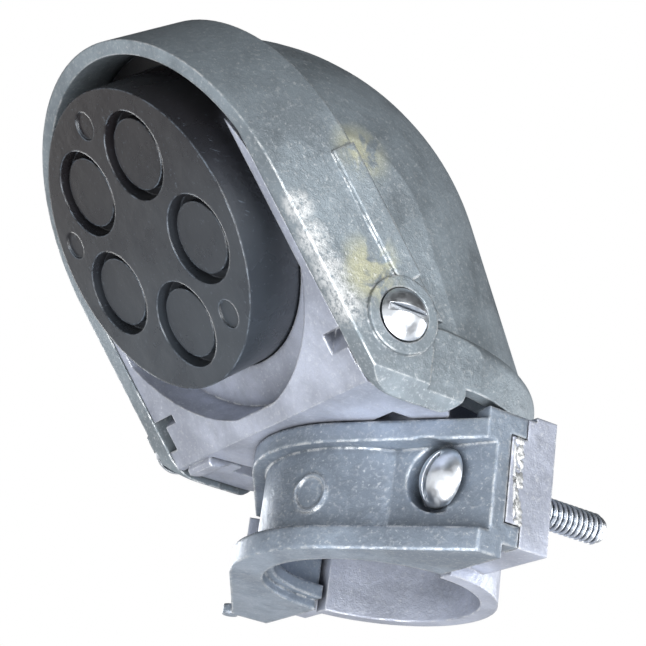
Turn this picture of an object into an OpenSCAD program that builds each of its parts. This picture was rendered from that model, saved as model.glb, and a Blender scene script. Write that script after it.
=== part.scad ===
// Clamp-on service entrance weatherhead for a conduit.
// Millimetres. The origin is the centre of the collar's lower end, +Z runs up the conduit
// and the wires leave the sloping face towards -Y.

/* [Conduit and collar] */
// Outside diameter of the conduit
pipe_d = 42.2; // [38:0.1:46]
// Play between the conduit and the collar, on the radius
pipe_play = 0.15; // [0.05:0.05:0.2]
// Height of the collar's clamping wall
collar_h = 26; // [24:0.5:32]
// Wall of the collar
collar_wall = 4.2; // [3.5:0.1:5]
// Width of the slit between the strap and the body
slit_w = 1.2; // [0.6:0.1:2]
// Distance of the slit behind the conduit's axis
slit_y = 0.4; // [0.2:0.1:1]
// Distance from the conduit's axis to the clamp screw
clamp_x = 31.6; // [30.5:0.1:33]
// Distance from the conduit's axis to the end of the ears
ear_x = 42; // [41:0.1:46]

/* [Face] */
// Lean of the face from the vertical
face_tilt = 41; // [35:0.5:47]
// Distance of the face's centre in front of the conduit's axis
face_reach = 60; // [56:0.5:64]
// Height of the face's centre
face_height = 59.6; // [57:0.2:64]

/* [Hood] */
// Half of the hood's width
hood_r = 42.7; // [42:0.1:46]
// Wall of the hood
hood_wall = 3; // [2.5:0.1:3.5]
// Depth of the band round the face
band_depth = 19; // [18:0.5:22]
// Drop of the band's arch below the face's centre
arch_drop = 3; // [2:0.5:4]
// Radius of the dome's section
dome_r = 41; // [40:0.1:41.5]
// Half width between the dome's flat cheeks
cheek_x = 40.2; // [39.5:0.1:40.5]
// Height of the hood's lower edge
hood_z = 25; // [24.5:0.1:26]

/* [Insulator] */
// Diameter of the raised plug
plug_d = 63.4; // [60:0.2:64]
// Height of the plug above the hood's rim
plug_rise = 4.9; // [3:0.1:6]
// Number of knockouts
knockouts = 5; // [3:1:6]
// Diameter of a knockout
knockout_d = 18.3; // [14:0.1:18.5]
// Distance from the plug's centre to a knockout
knockout_ring = 18.5; // [17:0.1:20]
// Depth of the well round the plug
well_depth = 8; // [6:0.5:9]

/* [Screws] */
// Diameter of the clamp screw, the core of a 1/4-20 thread
clamp_screw_d = 4.8; // [4:0.1:6]
// Length of the clamp screw (1-1/2 in)
clamp_screw_len = 38.1; // [32:0.1:42]
// Diameter of the hood screws (No. 10)
hood_screw_d = 4.8; // [4:0.1:5.5]
// Diameter of the clamp screw's head
clamp_head_d = 12; // [10:0.2:13]
// Diameter of the hood screws' heads
hood_head_d = 10.2; // [8:0.2:11]
// Length of the hood screws (5/8 in)
hood_screw_len = 15.9; // [14:0.1:18]

/* [Hidden] */
$fn = 96;
eps = 0.01;
far = 200;
seat = 0.2;
fit = 0.3;
screw_play = 0.05;
step = 0.5;

bore_r = pipe_d / 2 + pipe_play;
collar_r = bore_r + collar_wall;
slit_front = slit_y - slit_w / 2;
slit_back = slit_y + slit_w / 2;
throat_step = 2.2;
throat_r = bore_r - throat_step;
neck_wall = 2.3;
neck_r = throat_r + neck_wall;
ear_high = collar_h + 2.4;
crest_z = ear_high + 1;
face_centre = [-face_reach, face_height];

// ---- face frame -------------------------------------------------------------------------

// Local X stays X, local Y runs up the face and local Z runs out of it.
module on_face(out = 0) {
    translate([0, -face_reach, face_height])
        rotate([90 + face_tilt, 0, 0])
            translate([0, 0, out])
                children();
}

module slab_on_face(back, front) {
    on_face(back) linear_extrude(front - back) children();
}

// A round arch on straight legs that run down past the part.
module arch(r, leg = far / 2) {
    translate([0, -arch_drop]) circle(r);
    translate([-r, -arch_drop - leg]) square([2 * r, leg]);
}

// The band leans a little, so that its back edge is lower than its rim.
module leaning_arch(r) {
    on_face()
        rotate([-band_lean, 0, 0])
            linear_extrude(4 * band_depth, center = true) arch(r);
}

module half_width(w) {
    square([2 * w, far], center = true);
}

// Both sides of a piece that is the same left and right.
module both_sides() {
    children();
    mirror([1, 0, 0]) children();
}

// ---- hood -------------------------------------------------------------------------------

dome_bend = 12;
crown_steps = 32;
dome_pivot = face_centre + [18, -7.1];
dome_end = 28;
back_run = 45;
skirt_step = 0.1;
skirt_r = hood_r - skirt_step;
skirt_x = skirt_r - 1;
neck_gap = 1.05;
skirt_y = neck_r + neck_gap + hood_wall - skirt_r;
skirt_h = 11;
skirt_round = 3.5;
skirt_gap = 0.6;
skirt_z = crest_z + skirt_gap;
skirt_top = skirt_z + skirt_h;
lip_h = 3;
lip_edge = 0.4;
lip_back = 1.5;
lip_end = -11.2;
lip_end_r = 4.4;
chin_r = 11;
crease_y = skirt_y - 2.8;
band_lean = 3.5;
strip_w = 5.3;
strip_rise = 0.8;
strip_low = -31.3;
strip_high = -3.4;
lip_x = hood_r - 4.4;
right_screw = face_centre + [32.1, -20.5];
left_screw = face_centre + [30.6, -27.5];
boss_r = 7.6;
boss_x = hood_r + 0.9;
hood_seat_x = hood_r + 0.2;

// The dome's section: a round crown between two flat cheeks, filled down to its pivot.
module dome_section(inset) {
    r = dome_r - inset;
    x = cheek_x - inset;
    half = asin(x / r);
    crown = [for (k = [0 : crown_steps]) let (a = half * (2 * k / crown_steps - 1))
        [dome_bend + r * cos(a), r * sin(a)]];
    polygon(concat([[0, -x]], crown, [[0, x]]));
}

module at_dome_pivot(turn) {
    translate([0, dome_pivot.x, dome_pivot.y]) rotate([0, 90, 0]) rotate(turn) children();
}

// The dome bends over behind the band and then runs straight down the back.
module dome(inset = 0, front = 1 - band_depth) {
    intersection() {
        union() {
            difference() {
                at_dome_pivot(0) rotate_extrude() dome_section(inset);
                at_dome_pivot(dome_end) translate([0, -far / 2, -far / 2]) cube(far);
            }
            at_dome_pivot(90 + dome_end)
                rotate([90, 0, 0]) translate([0, 0, -eps]) linear_extrude(back_run + eps) dome_section(inset);
        }
        slab_on_face(-far, front) square(2 * far, center = true);
    }
}

module band() {
    difference() {
        intersection() {
            slab_on_face(-band_depth, 0) square(far, center = true);
            leaning_arch(hood_r);
        }
        translate([-far / 2, crease_y, skirt_top - far]) cube([far, far, far]);
    }
    both_sides()
        on_face(-band_depth)
            translate([cheek_x, strip_low, 0])
                cube([hood_r + strip_rise - cheek_x, strip_high - strip_low, strip_w]);
}

// The skirt stands round the back of the dome on a rounded step.
module skirt(inset = 0) {
    r = skirt_r - inset;
    x = skirt_x - inset;
    top = skirt_top - inset;
    low = inset > 0 ? 0 : hood_z;
    intersection() {
        translate([0, skirt_y, 0])
            rotate_extrude() {
                translate([0, low]) square([r, top - skirt_round - low]);
                translate([0, low]) square([r - skirt_round, top - low]);
                translate([r - skirt_round, top - skirt_round]) circle(skirt_round);
            }
        translate([-x, crease_y, 0]) cube([2 * x, far, far]);
    }
}

// The two hood screws are at different heights. Local Z points out of the cheek.
module at_hood_screws(out) {
    translate([out, right_screw.x, right_screw.y]) rotate([0, 90, 0]) children();
    mirror([1, 0, 0]) translate([out, left_screw.x, left_screw.y]) rotate([0, 90, 0]) children();
}

// A cut through the hood from side to side, drawn from the right: y across and z up.
module side_cut() {
    translate([-far / 2, 0, 0]) rotate([90, 0, 90]) linear_extrude(far) children();
}

// The cheeks' lower edge: round under the chin, level, and round again where the skirt begins.
module underside() {
    chin = [-face_reach + (face_height - hood_z) * tan(face_tilt), hood_z];
    chin_run = chin_r * tan((90 - face_tilt) / 2);
    side_cut() {
        translate([-far, hood_z - far]) square([2 * far, far]);
        translate([lip_end, skirt_z - far]) square(far);
        difference() {
            translate([lip_end - lip_end_r, hood_z - eps]) square([lip_end_r + eps, lip_end_r + eps]);
            translate([lip_end - lip_end_r, hood_z + lip_end_r]) circle(lip_end_r);
        }
        difference() {
            polygon([
                chin + [chin_run, -eps], chin - [chin_r, 0],
                chin + chin_run * [-sin(face_tilt), cos(face_tilt)] - [eps, 0]
            ]);
            translate(chin + [chin_run, chin_r]) circle(chin_r);
        }
    }
}

module hood_outside() {
    band();
    dome();
    skirt();
    intersection() {
        at_hood_screws(cheek_x - hood_wall) cylinder(r = boss_r, h = boss_x - cheek_x + hood_wall);
        slab_on_face(-far, 0) square(2 * far, center = true);
    }
}

module hood_inside() {
    intersection() {
        slab_on_face(lip_back - band_depth, 1) half_width(lip_x);
        leaning_arch(hood_r - hood_wall);
    }
    dome(hood_wall, hood_wall + 1 - band_depth);
    translate([-lip_x, lug_front, 0])
        cube([2 * lip_x, crease_y + eps - lug_front, right_screw.y + lug_r + 1]);
    skirt(hood_wall);
}

// The lower edge of each cheek slopes in towards the body.
module bevelled_lip() {
    slope = lip_h / (hood_r - lip_x - lip_edge);
    rotate([90, 0, 0])
        linear_extrude(2 * far, center = true)
            translate([lip_x + lip_edge, hood_z])
                polygon([[0, -eps], [far, -eps], [far, far * slope]]);
}

module hood() {
    color("silver")
        difference() {
            hood_outside();
            hood_inside();
            underside();
            both_sides() bevelled_lip();
            at_hood_screws(0) cylinder(d = hood_screw_d + 2 * fit, h = far);
            at_hood_screws(hood_seat_x) cylinder(d = hood_head_d + 2 * fit, h = far);
        }
}

// ---- insulator --------------------------------------------------------------------------

plug_r = plug_d / 2;
ledge_wall = 3;
flange_t = 2.5;
flange_back = -well_depth - ledge_wall - fit - flange_t;
shoulder_t = 15.8;
flange_x = lip_x - 2.3;
flange_r = hood_r - hood_wall - 1.3;
plug_wall = 4;
web = 0.8;
groove_w = 1.8;
disc_sink = 1;
dimple_r = 2.9;
dimple_ring = 26;
dimple_places = [0.5, 2.5, 3.5];
dimple_deep = 0.5;

// The flange fills the arch above the body's legs and slides down between them below.
module insulator_flange() {
    intersection() {
        arch(flange_r);
        union() {
            opening(flange_r, flange_x);
            intersection() {
                translate([-far / 2, shoulder_t + fit]) square(far);
                half_width(lip_x - fit);
            }
        }
    }
}

module at_knockouts() {
    for (k = [0 : knockouts - 1])
        rotate(k * 360 / knockouts - 90) translate([knockout_ring, 0]) children();
}

module insulator() {
    color([0.08, 0.08, 0.09])
        difference() {
            union() {
                on_face(flange_back) linear_extrude(flange_t) insulator_flange();
                on_face(flange_back) cylinder(r = plug_r, h = plug_rise - flange_back);
            }
            on_face(flange_back - eps)
                cylinder(r = plug_r - plug_wall, h = plug_rise - flange_back - plug_wall);
            on_face(plug_rise - plug_wall + web) linear_extrude(plug_wall)
                at_knockouts()
                    difference() {
                        circle(d = knockout_d);
                        circle(d = knockout_d - 2 * groove_w);
                    }
            on_face(plug_rise - disc_sink) linear_extrude(plug_wall)
                at_knockouts() circle(d = knockout_d - groove_w);
            on_face(plug_rise - dimple_deep) linear_extrude(plug_wall)
                for (k = dimple_places)
                    rotate(k * 360 / knockouts - 90) translate([dimple_ring, 0]) circle(dimple_r);
        }
}

// ---- body -------------------------------------------------------------------------------

frame_x = lip_x - fit;
frame_back = flange_back - fit - ledge_wall;
opening_x = flange_x - 0.2;
opening_r = flange_r + 2.6;
ledge_gap = 1.5;
foot_t = -52;
notch_t = -33;
notch_x = frame_x - 5.8;
step_x = frame_x - 8.1;
step_t = -38.3;
ankle_x = frame_x - 12.4;
foot_x = frame_x - 15.2;
neck_h = 10;
neck_top = collar_h + neck_h;
stop_t = 2;
lug_r = 7.5;
lug_right = frame_x - 7;
lug_left = 3.5 - frame_x;
lug_left_w = 9.5;
shoulder_z = collar_h + 0.4;
shoulder_h = 3;
tab_in = frame_x - 9;
tab_end = -10;
lug_front = left_screw.x - lug_r - 1;
lug_space = 8;
tab_round = 4.4;
rear_wall = 3.5;
ear_low = 2.8;
ear_back = 10.3;
crest_y = 5.5;
arm_h = 4;

module frame_outline() {
    intersection() {
        union() {
            translate([-frame_x, notch_t]) square([2 * frame_x, shoulder_t - notch_t]);
            polygon([
                [notch_x, notch_t + eps], [notch_x, foot_t], [-foot_x, foot_t],
                [-ankle_x, step_t], [-step_x, step_t], [-step_x, notch_t + eps]
            ]);
        }
        arch(flange_r);
    }
}

module opening(r = opening_r, x = opening_x) {
    intersection() {
        union() {
            circle(r);
            translate([-x, 0]) square([2 * x, far / 2]);
        }
        half_width(x);
    }
}

module insulator_frame() {
    difference() {
        slab_on_face(frame_back, -fit) frame_outline();
        slab_on_face(-well_depth, eps) opening();
        slab_on_face(flange_back - fit, -well_depth - ledge_wall)
            opening(flange_r + fit, flange_x + fit);
        slab_on_face(frame_back - eps, flange_back) opening(plug_r + ledge_gap, plug_r + ledge_gap);
        slab_on_face(frame_back - eps, eps) circle(plug_r + fit);
        translate([-far / 2, -far / 2, shoulder_z - far]) cube([far, far, far]);
    }
}

module screw_lug(place, x0, x1) {
    translate([x0, place.x, place.y])
        rotate([0, 90, 0]) cylinder(r = lug_r, h = x1 - x0);
    translate([x0, place.x - lug_r, shoulder_z])
        cube([x1 - x0, 2 * lug_r, place.y - shoulder_z]);
}

module shoulder() {
    both_sides()
        translate([0, 0, shoulder_z])
            linear_extrude(shoulder_h) {
                translate([0, lug_front + 1]) square([frame_x, lug_r]);
                translate([tab_in, right_screw.x]) square([frame_x - tab_in, tab_end - tab_round - right_screw.x]);
                translate([frame_x - tab_round, tab_end - tab_round]) circle(tab_round);
                translate([tab_in + tab_round, tab_end - tab_round]) circle(tab_round);
            }
}

// The back half of the collar with its two ears, cut off flat at the slit.
module rear_collar() {
    wall_r = bore_r + rear_wall;
    tongue_z = ear_low + arm_h + fit;
    intersection() {
        union() {
            cylinder(r = wall_r, h = collar_h + fit + eps);
            translate([0, arm_y + fit, ear_low]) cube([ear_x, ear_back - arm_y - fit, ear_high - ear_low]);
            translate([0, crest_y, ear_low]) cube([ear_x, ear_back - crest_y, crest_z - ear_low]);
            translate([0, 0, tongue_z]) cube([ear_x, ear_back, ear_low + ear_high - 2 * tongue_z]);
            translate([0, 0, ear_low]) cube([ear_x - end_plate - fit, ear_back, ear_high - ear_low]);
            translate([-hinge_x - knuckle_r, 0, ear_low])
                cube([hinge_x + knuckle_r, left_ear_back, hook_top - ear_low]);
        }
        union() {
            translate([-far / 2, slit_back, -eps]) cube(far);
            translate([wall_r, slit_front + fit, -eps]) cube(far);
        }
    }
}

// The left ear ends in a hook that holds the strap's round end.
module hook() {
    translate([-hinge_x, hinge_y, hook_low])
        rotate([0, 0, hook_from])
            rotate_extrude(angle = hook_turn)
                translate([knuckle_r + fit, 0]) square([hook_w, hook_top - step - hook_low]);
}

// The neck stands on the plate that stops the conduit.
module neck() {
    translate([0, 0, collar_h + fit]) {
        cylinder(r = bore_r + rear_wall, h = stop_t);
        cylinder(r = neck_r, h = neck_h - fit);
    }
}

module body() {
    color("lightgray")
        difference() {
            union() {
                insulator_frame();
                neck();
                shoulder();
                screw_lug(right_screw, lug_right, frame_x - step);
                screw_lug(left_screw, lug_left, lug_left + lug_left_w);
                rear_collar();
                hook();
            }
            translate([0, 0, -eps]) cylinder(r = bore_r, h = collar_h + eps);
            cylinder(r = throat_r, h = neck_top + eps);
            at_hood_screws(-lug_left - lug_left_w - eps) cylinder(d = hood_screw_d + 2 * screw_play, h = far);
            translate([-far / 2, lug_front, shoulder_z - far]) cube([far, lug_space, far]);
            translate([clamp_x, 0, clamp_z])
                rotate([-90, 0, 0]) cylinder(d = clamp_screw_d + 2 * screw_play, h = far);
            slab_on_face(-fit, far) square(far, center = true);
        }
}

// ---- clamp strap ------------------------------------------------------------------------

clamp_z = ear_high - 12.9;
flange_low_r = 30;
flange_high_r = 28.5;
flange_low_h = 4.6;
flange_high_h = 4;
flange_front = -5.7;
panel_front = -3.3;
end_plate = 4;
knee = 30;
arm_y = 3.3;
hinge_x = 38;
hinge_y = -4.2;
knuckle_r = 3.6;
knuckle_neck = 3.2;
hook_w = 2.6;
hook_from = 70;
hook_turn = 175;
hook_low = flange_low_h + fit;
hook_top = collar_h - 4;
left_ear_back = 8;
low_left = [-45.5, -9];
sole_left = [-44.3, -9];
sole_h = 2.2;
nub_r = 1.7;
high_left = [-40, -9];
web_x = 31;
web_y = -5.3;
relief = 2;
mouth_h = 2.2;
rib_h = 2.8;
pocket_h = 7;
emblem_r = 4;
emblem_w = 0.7;
emblem_rise = 0.4;
emblem_angle = -68;
emblem_z = 12.8;

// Where the line from point p touches a circle of radius r, on the circle's front side.
function touch(r, p) =
    let (a = atan2(p.y, p.x), b = acos(r / norm(p)), side = p.x > 0 ? -1 : 1)
    r * [cos(a + side * b), sin(a + side * b)];

// The strap's outline from above: a round front whose sides run straight to both ends.
module strap_outline(r, right, left) {
    circle(r);
    polygon([touch(r, right), right, [right.x, slit_front], [left.x, slit_front], left, touch(r, left)]);
}

// Two flanges with a recessed panel between them.
module strap_solid() {
    flange = [ear_x, flange_front];
    linear_extrude(collar_h) {
        strap_outline(collar_r, [collar_r + eps, panel_front], [-web_x, web_y]);
        polygon([
            collar_r * [cos(knee), -sin(knee)], [ear_x, panel_front], [ear_x, slit_front], [0, slit_front]
        ]);
    }
    linear_extrude(sole_h) {
        strap_outline(flange_low_r, flange, sole_left);
        translate(low_left) circle(nub_r);
    }
    translate([0, 0, sole_h])
        linear_extrude(flange_low_h - sole_h) strap_outline(flange_low_r, flange, low_left);
    translate([0, 0, collar_h - flange_high_h])
        linear_extrude(flange_high_h) strap_outline(flange_high_r, flange, high_left);
    translate([ear_x - end_plate, panel_front, ear_low])
        cube([end_plate, far, ear_high - ear_low]);
    translate([ear_x - end_plate, flange_front, collar_h - flange_high_h])
        cube([end_plate, far, ear_high - collar_h + flange_high_h]);
}

// The ends of the right ear reach back round the body's tongue.
module end_arm() {
    translate([ear_x - end_plate, slit_front - eps, 0]) cube([end_plate, arm_y - slit_front + eps, arm_h]);
}

// The round left end that turns in the body's hook.
module knuckle() {
    translate([-hinge_x, hinge_y, 0]) cylinder(r = knuckle_r, h = collar_h);
    translate([-hinge_x, hinge_y - knuckle_r / 2, 0]) cube([hinge_x - web_x + 1, knuckle_neck, collar_h]);
}

module emblem_ring() {
    rotate([0, 0, emblem_angle])
        translate([collar_r - 1, 0, emblem_z])
            rotate([0, 90, 0])
                difference() {
                    cylinder(r = emblem_r, h = 1 + emblem_rise);
                    cylinder(r = emblem_r - emblem_w, h = 2 + emblem_rise);
                }
}

module clamp_strap() {
    color("gainsboro")
        difference() {
            union() {
                intersection() {
                    strap_solid();
                    translate([-far / 2, slit_front - far, 0]) cube(far);
                }
                translate([0, 0, ear_low]) end_arm();
                translate([0, 0, ear_high - arm_h]) end_arm();
                knuckle();
                emblem_ring();
            }
            translate([0, 0, -eps]) cylinder(r = bore_r, h = far);
            translate([0, 0, -eps]) cylinder(r = bore_r + relief, h = mouth_h);
            for (z = [mouth_h + rib_h : pocket_h + rib_h : collar_h - pocket_h])
                translate([0, 0, z]) cylinder(r = bore_r + relief, h = pocket_h);
            translate([clamp_x, -far, clamp_z])
                rotate([-90, 0, 0]) cylinder(d = clamp_screw_d + 2 * slot_play, h = 2 * far);
            translate([clamp_x, clamp_seat_y - far, clamp_z])
                rotate([-90, 0, 0]) cylinder(d = clamp_head_d + 2 * slot_play, h = far);
        }
}

// ---- screws -----------------------------------------------------------------------------

clamp_seat_y = -7.3;
slot_play = 0.9;
clamp_head_h = 4.2;
clamp_slot_turn = 22;
hood_head_h = 3.6;
cap_share = 0.8;
slot_w = 1.5;
slot_share = 0.5;

// A slotted round-head machine screw that points down -Z, its head's underside at z = 0.
module round_head_screw(d, len, head, h) {
    r = head / 2;
    cap = cap_share * h;
    ball = (r * r + cap * cap) / (2 * cap);
    difference() {
        union() {
            intersection() {
                cylinder(r = r, h = h);
                translate([0, 0, h - ball]) sphere(ball);
            }
            translate([0, 0, -len]) cylinder(d = d, h = len + eps);
        }
        translate([-slot_w / 2, -head, (1 - slot_share) * h]) cube([slot_w, 2 * head, h]);
    }
}

module clamp_screw() {
    color("whitesmoke")
        translate([clamp_x, clamp_seat_y - seat, clamp_z])
            rotate([90, clamp_slot_turn, 0])
                round_head_screw(clamp_screw_d, clamp_screw_len, clamp_head_d, clamp_head_h);
}

module hood_screw(place) {
    color("whitesmoke")
        translate([hood_seat_x + seat, place.x, place.y])
            rotate([0, 90, 0])
                round_head_screw(hood_screw_d, hood_screw_len, hood_head_d, hood_head_h);
}

body();
hood();
insulator();
clamp_strap();
clamp_screw();
hood_screw(right_screw);  // hood_screw_right
mirror([1, 0, 0]) hood_screw(left_screw);  // hood_screw_left
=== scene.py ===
"""Looks of a clamp-on service entrance weatherhead, laid out as an add-on and run as a script."""

import math
import random

import bmesh
import bpy
from bpy.props import FloatProperty, FloatVectorProperty, IntProperty, PointerProperty
from mathutils import Matrix, Vector


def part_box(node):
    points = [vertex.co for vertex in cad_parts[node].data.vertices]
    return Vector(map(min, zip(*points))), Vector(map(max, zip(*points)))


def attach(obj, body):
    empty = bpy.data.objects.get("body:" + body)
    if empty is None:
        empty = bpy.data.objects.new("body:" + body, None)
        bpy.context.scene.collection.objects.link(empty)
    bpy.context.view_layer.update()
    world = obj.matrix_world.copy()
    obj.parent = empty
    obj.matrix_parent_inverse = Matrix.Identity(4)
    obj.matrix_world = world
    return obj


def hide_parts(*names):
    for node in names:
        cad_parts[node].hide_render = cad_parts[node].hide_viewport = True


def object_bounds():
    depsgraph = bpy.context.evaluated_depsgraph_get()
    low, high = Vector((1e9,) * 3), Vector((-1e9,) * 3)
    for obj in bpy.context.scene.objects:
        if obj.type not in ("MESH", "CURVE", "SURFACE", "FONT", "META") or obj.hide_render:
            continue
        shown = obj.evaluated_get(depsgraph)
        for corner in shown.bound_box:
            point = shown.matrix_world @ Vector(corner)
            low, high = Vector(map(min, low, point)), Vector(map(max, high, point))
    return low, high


bl_info = {
    "name": "Weatherhead Looks",
    "version": (1, 0, 0),
    "blender": (4, 5, 0),
    "location": "3D View > Sidebar > Weatherhead",
    "description": "Finishes a cast weatherhead, its insulator and its screws, and sets up a studio",
    "category": "Object",
}

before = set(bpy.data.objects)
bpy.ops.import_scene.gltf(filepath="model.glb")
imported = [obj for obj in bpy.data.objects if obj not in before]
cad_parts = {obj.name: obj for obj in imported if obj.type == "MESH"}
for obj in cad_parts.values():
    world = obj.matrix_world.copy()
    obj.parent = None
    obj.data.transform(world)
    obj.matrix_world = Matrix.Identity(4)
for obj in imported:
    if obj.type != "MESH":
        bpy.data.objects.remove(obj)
CAD_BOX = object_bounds()
MM = 0.001
WELD = 0.002 * MM
SINK = 0.2 * MM
FLASH_SECTION = 6
CLIP_NEAR = 10 * MM
CLIP_FAR = 10
FLOOR_HALF = 3

# Places on the hood's right cheek, each with its reach: a painted highlight along the band's lower edge,
# and painted yellow highlights above the screw and on the band.
BAND_HIGHLIGHTS = tuple(
    ((42.7 * MM, -(40.5 + 4 * k) * MM, (37.5 + 5 * k) * MM), (6 - 0.5 * k) * MM)
    for k in range(4)
)
HOOD_WARM_HIGHLIGHTS = (
    ((42.7 * MM, -40.3 * MM, 69.7 * MM), 9 * MM),
    ((42.7 * MM, -35.8 * MM, 45.7 * MM), 9 * MM),
)

# Each lamp's name, azimuth and elevation in degrees, distance, diameter and power in watts. An
# azimuth of 0 is in front of the part, towards -Y, and 90 is on its +X side.
LAMPS = (
    ("side_lamp", 88, -8, 650 * MM, 350 * MM, 3.2),
    ("high_lamp", 90, 12, 650 * MM, 300 * MM, 1.15),
    ("under_lamp", 110, -65, 650 * MM, 350 * MM, 1.7),
    ("near_lamp", 40, -48, 260 * MM, 180 * MM, 0.8),
    ("far_side_lamp", -90, 5, 650 * MM, 350 * MM, 1.3),
    ("back_lamp", 175, -2, 650 * MM, 350 * MM, 2.0),
)


# ---- settings ---------------------------------------------------------------------------


class CastingSettings(bpy.types.PropertyGroup):
    """Colours and skin of the cast aluminium pieces."""

    hood_tint: FloatVectorProperty(
        name="Hood colour", description="Colour of the hood's skin",
        subtype="COLOR", size=3, min=0, max=1, default=(0.28, 0.33, 0.37))
    body_tint: FloatVectorProperty(
        name="Body colour", description="Colour of the body's skin",
        subtype="COLOR", size=3, min=0, max=1, default=(0.50, 0.54, 0.65))
    strap_tint: FloatVectorProperty(
        name="Strap colour", description="Colour of the clamp strap's skin",
        subtype="COLOR", size=3, min=0, max=1, default=(0.27, 0.325, 0.40))
    # colour of bare metal on worn edges, and of the painted highlights
    bare_and_highlight_tint: FloatVectorProperty(
        name="Worn colour", description="Colour of bare metal on worn edges",
        subtype="COLOR", size=3, min=0, max=1, default=(0.78, 0.80, 0.81))
    # colour of the painted yellow highlights on the hood
    warm_highlight_tint: FloatVectorProperty(
        name="Stain colour", description="Colour of the varnish stains on the hood",
        subtype="COLOR", size=3, min=0, max=1, default=(0.60, 0.58, 0.35))
    edge_round: FloatProperty(
        name="Edge rounding", description="Radius that the casting's edges look rounded to",
        subtype="DISTANCE", unit="LENGTH", default=0.7 * MM, min=0.1 * MM, max=2 * MM)
    flash_y: FloatProperty(
        name="Flash place", description="Distance of the flash behind the conduit's axis",
        subtype="DISTANCE", unit="LENGTH", default=1.3 * MM, min=1 * MM, max=5 * MM)
    flash_lean: FloatProperty(
        name="Flash lean", description="How much further back the flash's lower end lies",
        subtype="DISTANCE", unit="LENGTH", default=1.4 * MM, min=0, max=3 * MM)
    flash_low: FloatProperty(
        name="Flash bottom", description="Height of the flash's lower end",
        subtype="DISTANCE", unit="LENGTH", default=7.4 * MM, min=7 * MM, max=12 * MM)
    flash_high: FloatProperty(
        name="Flash top", description="Height of the flash's upper end",
        subtype="DISTANCE", unit="LENGTH", default=24 * MM, min=18 * MM, max=24.2 * MM)
    flash_steps: IntProperty(
        name="Flash steps", description="Steps along the flash", default=44, min=8, max=100)
    flash_drops: IntProperty(
        name="Flash drops", description="Number of drops beside the bead", default=70, min=0, max=200)
    flash_seed: IntProperty(
        name="Flash seed", description="Seed of the flash's ragged shape", default=7, min=0)
    grain_size: FloatProperty(
        name="Grain", description="Size of the grains in the cast skin",
        subtype="DISTANCE", unit="LENGTH", default=0.9 * MM, min=0.2 * MM, max=3 * MM)
    grain_depth: FloatProperty(
        name="Grain depth", description="Height of the grains in the cast skin",
        subtype="DISTANCE", unit="LENGTH", default=0.09 * MM, min=0, max=0.5 * MM)


class PlasticSettings(bpy.types.PropertyGroup):
    """Colour and gloss of the insulator."""

    tint: FloatVectorProperty(
        name="Colour", description="Colour of the moulded plastic",
        subtype="COLOR", size=3, min=0, max=1, default=(0.010, 0.008, 0.009))
    # colour of the painted reflection at the foot, and of scuffs, specks and painted edge highlights
    sheen_and_scuff_tint: FloatVectorProperty(
        name="Scuff colour", description="Colour of scuffs and dust on the plastic",
        subtype="COLOR", size=3, min=0, max=1, default=(0.034, 0.042, 0.052))
    roughness: FloatProperty(
        name="Roughness", description="Roughness of clean plastic", default=0.22, min=0.05, max=1)
    # heights between which the painted reflection fades in towards the foot
    reflection_top: FloatProperty(
        name="Dust top", description="Height over which the plastic is clean",
        subtype="DISTANCE", unit="LENGTH", default=84 * MM)
    reflection_foot: FloatProperty(
        name="Dust foot", description="Height under which the plastic is dusty",
        subtype="DISTANCE", unit="LENGTH", default=34 * MM)


class ScrewSettings(bpy.types.PropertyGroup):
    """Thread and plating of the screws."""

    pitch: FloatProperty(
        name="Pitch", description="Distance from crest to crest, 20 threads to the inch",
        subtype="DISTANCE", unit="LENGTH", default=25.4 / 20 * MM, min=0.5 * MM, max=2 * MM)
    depth: FloatProperty(
        name="Thread depth", description="Height of a crest above the root",
        subtype="DISTANCE", unit="LENGTH", default=0.75 * MM, min=0.1 * MM, max=0.9 * MM)
    turn_steps: IntProperty(
        name="Steps", description="Steps in one turn of the thread", default=36, min=12, max=64)
    tip: FloatProperty(
        name="Tip", description="Length of the chamfer at the shank's end",
        subtype="DISTANCE", unit="LENGTH", default=1.4 * MM, min=0.2 * MM, max=3 * MM)
    clamp_length: FloatProperty(
        name="Clamp screw length", description="Length under the head, 1-1/2 in",
        subtype="DISTANCE", unit="LENGTH", default=38.1 * MM, min=32 * MM, max=42 * MM)
    clamp_width: FloatProperty(
        name="Clamp screw width", description="Outside diameter of the thread, 1/4 in",
        subtype="DISTANCE", unit="LENGTH", default=6.35 * MM, min=4 * MM, max=7 * MM)
    neck_length: FloatProperty(
        name="Neck length", description="Length of the plain neck under the clamp screw's head",
        subtype="DISTANCE", unit="LENGTH", default=13 * MM, min=5 * MM, max=16 * MM)
    neck_width: FloatProperty(
        name="Neck width", description="Diameter of the plain neck",
        subtype="DISTANCE", unit="LENGTH", default=4.8 * MM, min=4 * MM, max=6 * MM)
    tint: FloatVectorProperty(
        name="Plating", description="Colour of the zinc plating",
        subtype="COLOR", size=3, min=0, max=1, default=(0.76, 0.80, 0.85))


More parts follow.
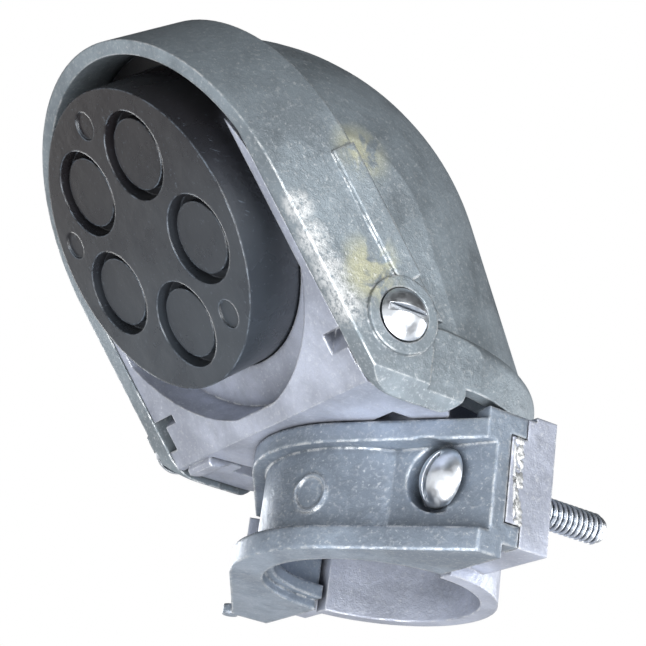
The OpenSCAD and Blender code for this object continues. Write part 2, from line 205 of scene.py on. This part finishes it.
class StudioSettings(bpy.types.PropertyGroup):
    """Camera, lamps and floor."""

    azimuth: FloatProperty(
        name="Azimuth", description="Direction of the camera round the part",
        subtype="ANGLE", unit="ROTATION", default=math.radians(61.5))
    elevation: FloatProperty(
        name="Elevation", description="Height of the camera over the horizon",
        subtype="ANGLE", unit="ROTATION", default=math.radians(-23.37))
    roll: FloatProperty(
        name="Roll", description="Turn of the camera about its own axis",
        subtype="ANGLE", unit="ROTATION", default=math.radians(8.04))
    distance: FloatProperty(
        name="Distance", description="Distance from the camera to its aim",
        subtype="DISTANCE", unit="LENGTH", default=354 * MM)
    aim: FloatVectorProperty(
        name="Aim", description="Point that the camera looks at",
        subtype="TRANSLATION", unit="LENGTH", size=3, default=(1.5 * MM, -22.6 * MM, 51.1 * MM))
    lens: FloatProperty(
        name="Lens", description="Focal length in millimetres", default=94.7, min=20, max=300)
    shift: FloatVectorProperty(
        name="Shift", description="Shift of the picture, as shares of its width",
        size=2, default=(0.0079, 0.0077))
    floor_drop: FloatProperty(
        name="Floor drop", description="Distance of the floor below the part",
        subtype="DISTANCE", unit="LENGTH", default=600 * MM)
    flag_size: FloatProperty(
        name="Flag size", description="Side of the dark panel over the part",
        subtype="DISTANCE", unit="LENGTH", default=1400 * MM)
    flag_rise: FloatProperty(
        name="Flag rise", description="Distance of the dark panel above the part",
        subtype="DISTANCE", unit="LENGTH", default=130 * MM)


# ---- materials --------------------------------------------------------------------------


class Finish:
    """A material's nodes, with short calls for what the finishes share."""

    def __init__(self, name):
        self.material = bpy.data.materials.new(name)
        self.material.use_nodes = True
        self.tree = self.material.node_tree
        self.tree.nodes.clear()
        self.shader = self.node("ShaderNodeBsdfPrincipled")
        output = self.node("ShaderNodeOutputMaterial")
        self.tree.links.new(self.shader.outputs["BSDF"], output.inputs["Surface"])
        self.place = self.node("ShaderNodeTexCoord").outputs["Object"]

    def node(self, kind, settings=None, inputs=None):
        made = self.tree.nodes.new(kind)
        for key, value in (settings or {}).items():
            setattr(made, key, value)
        for key, value in (inputs or {}).items():
            self.put(made.inputs[key], value)
        return made

    def put(self, socket, value):
        if isinstance(value, bpy.types.NodeSocket):
            self.tree.links.new(value, socket)
        elif socket.type == "RGBA":
            socket.default_value = (*value, 1)
        else:
            socket.default_value = value

    def surface(self, **inputs):
        for key, value in inputs.items():
            self.put(self.shader.inputs[key.replace("_", " ")], value)

    def noise(self, size, detail=3.0, roughness=0.55, place=None, distortion=0.0):
        """Noise with features of about the given size in metres."""
        return self.node("ShaderNodeTexNoise", None, {
            "Vector": place or self.place, "Scale": 1 / size, "Detail": detail,
            "Roughness": roughness, "Distortion": distortion}).outputs["Fac"]

    def stretched(self, turn, scale):
        """The surface's coordinates, turned and then stretched along one axis."""
        return self.node("ShaderNodeMapping", None, {
            "Vector": self.place, "Rotation": turn, "Scale": scale}).outputs["Vector"]

    def ramp(self, value, low, high, to_low=0.0, to_high=1.0):
        return self.node("ShaderNodeMapRange", {"interpolation_type": "SMOOTHSTEP"}, {
            "Value": value, "From Min": low, "From Max": high,
            "To Min": to_low, "To Max": to_high}).outputs["Result"]

    def math(self, operation, a, b):
        made = self.node("ShaderNodeMath", {"operation": operation, "use_clamp": False})
        self.put(made.inputs[0], a)
        self.put(made.inputs[1], b)
        return made.outputs[0]

    def mix(self, factor, a, b):
        made = self.node("ShaderNodeMix", {"data_type": "RGBA"})
        self.put(made.inputs["Factor"], factor)
        self.put(made.inputs[6], a)
        self.put(made.inputs[7], b)
        return made.outputs[2]

    def rounded(self, radius):
        """The surface's normal, as if every edge were rounded."""
        return self.node("ShaderNodeBevel", {"samples": 6}, {"Radius": radius}).outputs["Normal"]

    def edges(self, rounded):
        """1 where the rounded normal leaves the true one, as on an edge, and 0 on a flat."""
        true = self.node("ShaderNodeNewGeometry").outputs["Normal"]
        dot = self.node("ShaderNodeVectorMath", {"operation": "DOT_PRODUCT"})
        self.put(dot.inputs[0], true)
        self.put(dot.inputs[1], rounded)
        return self.ramp(dot.outputs["Value"], 0.995, 0.86)

    def cavity(self, reach):
        """1 deep in a corner and 0 in the open."""
        seen = self.node("ShaderNodeAmbientOcclusion", {"samples": 8}, {"Distance": reach})
        return self.ramp(seen.outputs["AO"], 0.85, 0.25)

    def near(self, point, reach):
        """1 at a point of the surface, falling to 0 at reach."""
        gap = self.node("ShaderNodeVectorMath", {"operation": "DISTANCE"})
        self.put(gap.inputs[0], self.place)
        self.put(gap.inputs[1], point)
        return self.ramp(gap.outputs["Value"], reach, 0.25 * reach)

    def bump(self, height, depth, normal=None, strength=1.0):
        inputs = {"Height": height, "Distance": depth, "Strength": strength}
        if normal:
            inputs["Normal"] = normal
        return self.node("ShaderNodeBump", None, inputs).outputs["Normal"]

    def scratches(self, turn, width, length, amount):
        """Thin streaks that run along one direction."""
        along = self.stretched((0, 0, turn), (1, width / length, 1))
        streak = self.noise(width, 1.5, 0.5, along)
        return self.ramp(streak, 1 - amount, 1 - amount + 0.06)


def cast_aluminium(name, tint, settings, rough=0.42, wear=0.7, stain=0.5, soft=1.0, highlights=(), warm_highlights=()):
    """Cast aluminium with a grainy skin, stains, painted shade in the corners and bright worn edges.

    soft widens the rounding of its edges. highlights and warm_highlights are (point, reach) pairs:
    places with a painted highlight, and places with a painted yellow highlight.
    """
    look = Finish(name)
    bright = tuple(settings.bare_and_highlight_tint)
    dark = tuple(0.60 * c for c in tint)
    rounded = look.rounded(soft * settings.edge_round)
    clouds = look.noise(22 * MM, 4, 0.6)
    patches = look.noise(6 * MM, 4, 0.65, distortion=0.6)
    grain = look.noise(settings.grain_size, 3, 0.7)
    sand = look.noise(settings.grain_size / 3, 2)
    glints = look.ramp(look.noise(0.8 * MM, 2), 0.64, 0.72)
    nicks = look.scratches(0.6, 0.3 * MM, 4 * MM, 0.27)
    # painted shade: darkens corners and recesses, in blotches
    painted_cavity_shade = look.math("MULTIPLY", look.cavity(3 * MM), look.ramp(patches, 0.3, 0.6, 0.5, 1.0))
    worn = look.math("MULTIPLY", look.edges(rounded), look.ramp(look.noise(2.5 * MM, 4, 0.7), 0.42, 0.60))
    wear_and_highlight = look.math("MULTIPLY", worn, wear)
    # painted highlights along the band's lower edge, on top of the edge wear
    for point, reach in highlights:
        band_highlight = look.math("MULTIPLY", look.near(point, reach), look.ramp(grain, 0.30, 0.60))
        wear_and_highlight = look.math("MAXIMUM", wear_and_highlight, look.math("MULTIPLY", band_highlight, 0.85))
    skin = look.mix(look.ramp(clouds, 0.38, 0.66), tuple(tint), dark)
    skin = look.mix(look.math("MULTIPLY", look.ramp(patches, 0.48, 0.70), stain), skin, dark)
    # painted yellow highlights on the hood's cheek
    for point, reach in warm_highlights:
        warm_highlight = look.math("MULTIPLY", look.near(point, reach), look.ramp(patches, 0.40, 0.56, 0, 0.55))
        skin = look.mix(warm_highlight, skin, tuple(settings.warm_highlight_tint))
    skin = look.mix(look.ramp(sand, 0.40, 0.62, 0.2, 0.0), skin, dark)
    skin = look.mix(look.ramp(grain, 0.50, 0.75, 0.0, 0.22), skin, bright)
    skin = look.mix(look.math("MULTIPLY", glints, 0.28), skin, bright)
    skin = look.mix(look.math("MULTIPLY", nicks, 0.25), skin, bright)
    # painted shade in the corners and recesses
    skin = look.mix(look.math("MULTIPLY", painted_cavity_shade, 0.8), skin, tuple(0.12 * c for c in tint))
    # bright worn edges and painted highlights
    skin = look.mix(wear_and_highlight, skin, bright)
    roughness = look.ramp(patches, 0.3, 0.7, rough - 0.08, rough + 0.1)
    roughness = look.math("SUBTRACT", roughness, look.math("MULTIPLY", wear_and_highlight, 0.15))
    normal = look.bump(look.noise(5 * MM, 2), 0.22 * MM, rounded, 0.8)
    normal = look.bump(grain, settings.grain_depth, normal)
    normal = look.bump(sand, settings.grain_depth / 2, normal)
    look.surface(Base_Color=skin, Metallic=0.5, Roughness=roughness, Normal=normal)
    return look.material


def moulded_plastic(name, settings):
    """Black phenolic moulding, glossy, lightened towards its foot by a painted reflection, with pale
    scuffs.
    """
    look = Finish(name)
    sheen_and_scuff = tuple(settings.sheen_and_scuff_tint)
    rounded = look.rounded(0.6 * MM)
    patches = look.noise(14 * MM, 4, 0.6)
    height = look.node("ShaderNodeSeparateXYZ", None, {"Vector": look.place}).outputs["Z"]
    # painted reflection: lighter towards the foot, in blotches
    low_reflection = look.ramp(height, settings.reflection_top, settings.reflection_foot)
    low_reflection = look.math("MULTIPLY", low_reflection, look.ramp(patches, 0.25, 0.75, 0.75, 1.0))
    scuffs = look.scratches(0.9, 0.4 * MM, 7 * MM, 0.30)
    specks = look.ramp(look.noise(0.9 * MM, 2), 0.66, 0.74)
    # painted highlight on the edges, with rubbed wear
    wear_and_highlight = look.math("MULTIPLY", look.edges(rounded), look.ramp(look.noise(3 * MM, 4, 0.7), 0.40, 0.60))
    # painted reflection towards the foot
    colour = look.mix(low_reflection, tuple(settings.tint), sheen_and_scuff)
    colour = look.mix(look.math("MULTIPLY", scuffs, 0.55), colour, tuple(2.5 * c for c in sheen_and_scuff))
    colour = look.mix(look.math("MULTIPLY", specks, 0.35), colour, tuple(2.5 * c for c in sheen_and_scuff))
    # painted edge highlights
    colour = look.mix(look.math("MULTIPLY", wear_and_highlight, 0.7), colour, tuple(4.5 * c for c in sheen_and_scuff))
    # painted shade: darkens corners and recesses
    colour = look.mix(look.math("MULTIPLY", look.cavity(2 * MM), 0.8), colour, (0.004, 0.004, 0.005))
    roughness = look.ramp(patches, 0.3, 0.7, settings.roughness, settings.roughness + 0.14)
    normal = look.bump(look.noise(5 * MM, 2), 0.15 * MM, rounded, 0.6)
    normal = look.bump(look.noise(0.6 * MM, 2), 0.015 * MM, normal)
    look.surface(Base_Color=colour, Roughness=roughness, Normal=normal, Specular_IOR_Level=0.6)
    return look.material


def zinc_plating(name, settings):
    """Bright zinc plating with dull spots, and painted shade in the thread's roots."""
    look = Finish(name)
    rounded = look.rounded(0.2 * MM)
    spots = look.noise(1.6 * MM, 4)
    # painted shade: darkens the thread's roots
    painted_cavity_shade = look.ramp(look.cavity(1.2 * MM), 0.05, 0.45, 0.0, 0.92)
    colour = look.mix(look.ramp(spots, 0.5, 0.75, 0.0, 0.5), tuple(settings.tint), (0.50, 0.53, 0.58))
    # painted shade in the thread's roots
    colour = look.mix(painted_cavity_shade, colour, (0.02, 0.035, 0.06))
    roughness = look.ramp(spots, 0.35, 0.7, 0.28, 0.48)
    normal = look.bump(look.noise(0.8 * MM, 2), 0.03 * MM, rounded)
    look.surface(Base_Color=colour, Metallic=1.0, Roughness=roughness, Normal=normal)
    return look.material


def dress(node, material):
    """Gives a CAD node its material."""
    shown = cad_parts[node]
    for slot in shown.material_slots:
        slot.material = material
    if not shown.material_slots:
        shown.data.materials.append(material)


# ---- pieces -----------------------------------------------------------------------------


def finished_object(name, mesh_maker, material, body):
    """Turns a bmesh into an object at the origin that rides on a body."""
    mesh = bpy.data.meshes.new(name)
    mesh_maker.to_mesh(mesh)
    mesh_maker.free()
    made = bpy.data.objects.new(name, mesh)
    bpy.context.collection.objects.link(made)
    mesh.materials.append(material)
    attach(made, body)
    return made


def cut_off(bm, point, outward):
    """Cuts away what lies beyond a plane and closes the cut."""
    cut = bmesh.ops.bisect_plane(
        bm, geom=bm.verts[:] + bm.edges[:] + bm.faces[:], dist=0.0001 * MM,
        plane_co=point, plane_no=outward, clear_outer=True)
    rim = [part for part in cut["geom_cut"] if isinstance(part, bmesh.types.BMEdge)]
    bmesh.ops.contextual_create(bm, geom=rim)


def taper_tip(bm, length, radius, settings):
    """Draws the last threads of a shank in to their root, as a machine screw's point is."""
    for vert in bm.verts:
        over = vert.co.z - (length - settings.tip)
        reach = math.hypot(vert.co.x, vert.co.y)
        most = radius - max(0, over) / settings.tip * settings.depth
        if over > 0 and reach > most:
            vert.co.x *= most / reach
            vert.co.y *= most / reach


def threaded_shank(length, radius, settings):
    """Makes a threaded shank that stands on the origin."""
    bm = bmesh.new()
    root = radius - settings.depth
    turns = math.ceil(length / settings.pitch) + 2
    section = [(root, 0.0), (radius, 0.40), (radius, 0.52), (root, 0.92), (root, 1.0)]
    verts = [bm.verts.new((reach, 0, (share - 1) * settings.pitch)) for reach, share in section]
    edges = [bm.edges.new(pair) for pair in zip(verts, verts[1:])]
    bmesh.ops.spin(
        bm, geom=verts + edges, cent=(0, 0, 0), axis=(0, 0, 1), angle=2 * math.pi * turns,
        dvec=(0, 0, settings.pitch / settings.turn_steps),
        steps=turns * settings.turn_steps, use_merge=False)
    bmesh.ops.remove_doubles(bm, verts=bm.verts[:], dist=WELD)
    cut_off(bm, (0, 0, 0), (0, 0, -1))
    cut_off(bm, (0, 0, length), (0, 0, 1))
    taper_tip(bm, length, radius, settings)
    return bm


def clamp_screw(settings):
    """The clamp screw: its slotted head from the frame, on a shank that has its thread."""
    low, high = (Vector(corner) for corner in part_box("clamp_screw"))
    axis = (low + high) / 2
    seat = Vector((axis.x, high.y - settings.clamp_length, axis.z))
    bm = threaded_shank(settings.clamp_length - settings.neck_length, settings.clamp_width / 2, settings)
    bmesh.ops.create_cone(
        bm, cap_ends=True, segments=settings.turn_steps, radius1=settings.neck_width / 2,
        radius2=settings.neck_width / 2, depth=settings.neck_length + 2 * SINK,
        matrix=Matrix.Translation((0, 0, -settings.neck_length / 2)))
    lay_down = Matrix.Translation(seat + Vector((0, settings.neck_length, 0)))
    lay_down = lay_down @ Matrix.Rotation(math.radians(-90), 4, "X")
    bmesh.ops.transform(bm, matrix=lay_down, verts=bm.verts[:])
    head = bmesh.new()
    head.from_mesh(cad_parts["clamp_screw"].data)
    bmesh.ops.remove_doubles(head, verts=head.verts[:], dist=WELD)
    cut_off(head, seat, (0, 1, 0))
    parted = bpy.data.meshes.new("clamp_head")
    head.to_mesh(parted)
    head.free()
    bm.from_mesh(parted)
    bpy.data.meshes.remove(parted)
    bmesh.ops.recalc_face_normals(bm, faces=bm.faces[:])
    return bm


def flash_bead(bm, ear, settings, chance):
    """Adds the straight bead that runs up the seam."""
    rows = []
    for k in range(settings.flash_steps + 1):
        share = k / settings.flash_steps
        fade = min(1, 8 * share, 8 * (1 - share))
        middle = settings.flash_y + (0.5 - share) * settings.flash_lean + chance.uniform(-0.1, 0.1) * MM
        half = fade * chance.uniform(0.25, 0.5) * MM
        rise = fade * chance.uniform(0.2, 0.4) * MM
        height = settings.flash_low + (settings.flash_high - settings.flash_low) * share
        turns = [math.pi * j / FLASH_SECTION for j in range(FLASH_SECTION + 1)]
        rows.append([bm.verts.new((
            ear - SINK + (rise + SINK) * math.sin(turn), middle - half * math.cos(turn), height))
            for turn in turns])
    for below, above in zip(rows, rows[1:]):
        for j in range(FLASH_SECTION):
            bm.faces.new((below[j], below[j + 1], above[j + 1], above[j]))
        bm.faces.new((below[-1], below[0], above[0], above[-1]))
    bm.faces.new(rows[0])
    bm.faces.new(rows[-1])


def flash_drops(bm, ear, settings, chance):
    """Adds the drops of metal that stand beside the bead."""
    for _ in range(settings.flash_drops):
        share = chance.random()
        middle = settings.flash_y + (0.5 - share) * settings.flash_lean + chance.uniform(0.3, 1.7) * MM
        height = settings.flash_low + (settings.flash_high - settings.flash_low) * share
        flat = Matrix.Diagonal((0.5, chance.uniform(0.7, 1.6), chance.uniform(0.8, 1.8), 1))
        bmesh.ops.create_icosphere(
            bm, subdivisions=2, radius=chance.uniform(0.25, 0.55) * MM,
            matrix=Matrix.Translation((ear, middle, height)) @ flat)


def ear_flash(settings):
    """Ragged flash up the body's ear, beside the seam that it shares with the strap."""
    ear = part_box("clamp_strap")[1].x
    chance = random.Random(settings.flash_seed)
    bm = bmesh.new()
    flash_bead(bm, ear, settings, chance)
    flash_drops(bm, ear, settings, chance)
    bmesh.ops.recalc_face_normals(bm, faces=bm.faces[:])
    for face in bm.faces:
        face.smooth = True
    return bm


# ---- operators --------------------------------------------------------------------------


class WEATHERHEAD_OT_castings(bpy.types.Operator):
    """Gives the hood, the body and the strap their cast aluminium finish"""

    bl_idname = "weatherhead.castings"
    bl_label = "Finish castings"

    def execute(self, context):
        settings = context.scene.weatherhead_casting
        dress("hood", cast_aluminium(
            "hood_casting", settings.hood_tint, settings, rough=0.46, highlights=BAND_HIGHLIGHTS, warm_highlights=HOOD_WARM_HIGHLIGHTS))
        dress("body", cast_aluminium("body_casting", settings.body_tint, settings, stain=0.3))
        dress("clamp_strap", cast_aluminium(
            "strap_casting", settings.strap_tint, settings, rough=0.36, wear=0.6, soft=1.6))
        raw = cast_aluminium("raw_flash", settings.bare_and_highlight_tint, settings, rough=0.3, stain=0.2)
        finished_object("ear_flash", ear_flash(settings), raw, "root")
        return {"FINISHED"}


class WEATHERHEAD_OT_insulator(bpy.types.Operator):
    """Gives the insulator its black moulded plastic"""

    bl_idname = "weatherhead.insulator"
    bl_label = "Finish insulator"

    def execute(self, context):
        dress("insulator", moulded_plastic("insulator_plastic", context.scene.weatherhead_plastic))
        return {"FINISHED"}


class WEATHERHEAD_OT_screws(bpy.types.Operator):
    """Plates the screws and cuts the clamp screw's thread"""

    bl_idname = "weatherhead.screws"
    bl_label = "Finish screws"

    def execute(self, context):
        settings = context.scene.weatherhead_screw
        zinc = zinc_plating("zinc_plating", settings)
        for node in ("hood_screw_right", "hood_screw_left", "clamp_screw"):
            dress(node, zinc)
        threaded = finished_object("threaded_clamp_screw", clamp_screw(settings), zinc, "screw")
        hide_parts("clamp_screw")
        return {"FINISHED"}


class WEATHERHEAD_OT_studio(bpy.types.Operator):
    """Sets up the camera, the lamps, the floor and the background"""

    bl_idname = "weatherhead.studio"
    bl_label = "Set up studio"

    def execute(self, context):
        settings = context.scene.weatherhead_studio
        context.scene.view_settings.view_transform = "Standard"
        place_camera(settings)
        lay_floor(settings)
        light_world(context.scene)
        aim = Vector(settings.aim)
        hang_flag(settings)
        for lamp in LAMPS:
            soft_lamp(aim, *lamp)
        return {"FINISHED"}


def direction(azimuth, elevation):
    """The way from the part to a camera or lamp at this azimuth and elevation."""
    flat = math.cos(elevation)
    return Vector((math.sin(azimuth) * flat, -math.cos(azimuth) * flat, math.sin(elevation)))


def place_camera(settings):
    """Sets the camera at its distance from the aim, rolled about its own axis."""
    data = bpy.data.cameras.new("camera")
    data.lens = settings.lens
    data.shift_x, data.shift_y = settings.shift
    data.clip_start = CLIP_NEAR
    data.clip_end = CLIP_FAR
    camera = bpy.data.objects.new("camera", data)
    bpy.context.collection.objects.link(camera)
    back = direction(settings.azimuth, settings.elevation)
    camera.location = Vector(settings.aim) + settings.distance * back
    level = (-back).to_track_quat("-Z", "Y").to_matrix()
    camera.rotation_euler = (level @ Matrix.Rotation(settings.roll, 3, "Z")).to_euler()
    bpy.context.scene.camera = camera


def lay_floor(settings):
    """Lays a plain pale floor below the part."""
    bm = bmesh.new()
    bmesh.ops.create_grid(bm, x_segments=1, y_segments=1, size=FLOOR_HALF)
    bmesh.ops.translate(bm, vec=(0, 0, CAD_BOX[0].z - settings.floor_drop), verts=bm.verts[:])
    mesh = bpy.data.meshes.new("floor")
    bm.to_mesh(mesh)
    bm.free()
    floor = bpy.data.objects.new("floor", mesh)
    bpy.context.collection.objects.link(floor)
    look = Finish("floor_paint")
    look.surface(Base_Color=(0.86, 0.86, 0.87), Roughness=0.8)
    mesh.materials.append(look.material)


def hang_flag(settings):
    """Hangs a dark panel over the part, unseen by the camera, so that its top stays in shade."""
    bm = bmesh.new()
    bmesh.ops.create_grid(bm, x_segments=1, y_segments=1, size=settings.flag_size / 2)
    bmesh.ops.translate(bm, vec=(0, 0, CAD_BOX[1].z + settings.flag_rise), verts=bm.verts[:])
    mesh = bpy.data.meshes.new("flag")
    bm.to_mesh(mesh)
    bm.free()
    flag = bpy.data.objects.new("flag", mesh)
    bpy.context.collection.objects.link(flag)
    look = Finish("flag_cloth")
    look.surface(Base_Color=(0.03, 0.03, 0.03), Roughness=0.9)
    mesh.materials.append(look.material)
    flag.visible_camera = False


def light_world(scene):
    """A white background for the camera and for reflections, and a dimmer one for light."""
    world = bpy.data.worlds.new("studio")
    scene.world = world
    world.use_nodes = True
    tree = world.node_tree
    tree.nodes.clear()
    output = tree.nodes.new("ShaderNodeOutputWorld")
    background = tree.nodes.new("ShaderNodeBackground")
    background.inputs["Color"].default_value = (1, 1, 1, 1)
    rays = tree.nodes.new("ShaderNodeLightPath")
    seen = None
    for ray in ("Is Camera Ray", "Is Glossy Ray", "Is Transmission Ray"):
        if seen is None:
            seen = rays.outputs[ray]
            continue
        either = tree.nodes.new("ShaderNodeMath")
        either.operation = "MAXIMUM"
        tree.links.new(seen, either.inputs[0])
        tree.links.new(rays.outputs[ray], either.inputs[1])
        seen = either.outputs[0]
    strength = tree.nodes.new("ShaderNodeMapRange")
    strength.inputs["To Min"].default_value = 0.4
    tree.links.new(seen, strength.inputs["Value"])
    tree.links.new(strength.outputs["Result"], background.inputs["Strength"])
    tree.links.new(background.outputs[0], output.inputs["Surface"])


def soft_lamp(aim, name, azimuth, elevation, distance, size, power):
    """Hangs a round lamp that faces the aim and that the camera does not see."""
    data = bpy.data.lights.new(name, "AREA")
    data.shape = "DISK"
    data.size = size
    data.energy = power
    lamp = bpy.data.objects.new(name, data)
    bpy.context.collection.objects.link(lamp)
    back = direction(math.radians(azimuth), math.radians(elevation))
    lamp.location = aim + distance * back
    lamp.rotation_euler = (-back).to_track_quat("-Z", "Y").to_euler()
    lamp.visible_camera = False


class WEATHERHEAD_PT_panel(bpy.types.Panel):
    """Lists the weatherhead's settings and steps"""

    bl_idname = "WEATHERHEAD_PT_panel"
    bl_label = "Weatherhead"
    bl_space_type = "VIEW_3D"
    bl_region_type = "UI"
    bl_category = "Weatherhead"

    def draw(self, context):
        for settings, _ in SETTINGS:
            group = getattr(context.scene, settings)
            box = self.layout.box()
            for name in group.__annotations__:
                box.prop(group, name)
        for step in STEPS:
            self.layout.operator(step.bl_idname)


SETTINGS = (
    ("weatherhead_casting", CastingSettings),
    ("weatherhead_plastic", PlasticSettings),
    ("weatherhead_screw", ScrewSettings),
    ("weatherhead_studio", StudioSettings),
)
STEPS = (
    WEATHERHEAD_OT_castings,
    WEATHERHEAD_OT_insulator,
    WEATHERHEAD_OT_screws,
    WEATHERHEAD_OT_studio,
)


def register():
    for name, group in SETTINGS:
        bpy.utils.register_class(group)
        setattr(bpy.types.Scene, name, PointerProperty(type=group))
    for step in STEPS:
        bpy.utils.register_class(step)
    bpy.utils.register_class(WEATHERHEAD_PT_panel)


def unregister():
    bpy.utils.unregister_class(WEATHERHEAD_PT_panel)
    for step in reversed(STEPS):
        bpy.utils.unregister_class(step)
    for name, group in reversed(SETTINGS):
        delattr(bpy.types.Scene, name)
        bpy.utils.unregister_class(group)


def main():
    register()
    for step in STEPS:
        group, name = step.bl_idname.split(".")
        getattr(getattr(bpy.ops, group), name)()


if __name__ == "__main__":
    main()
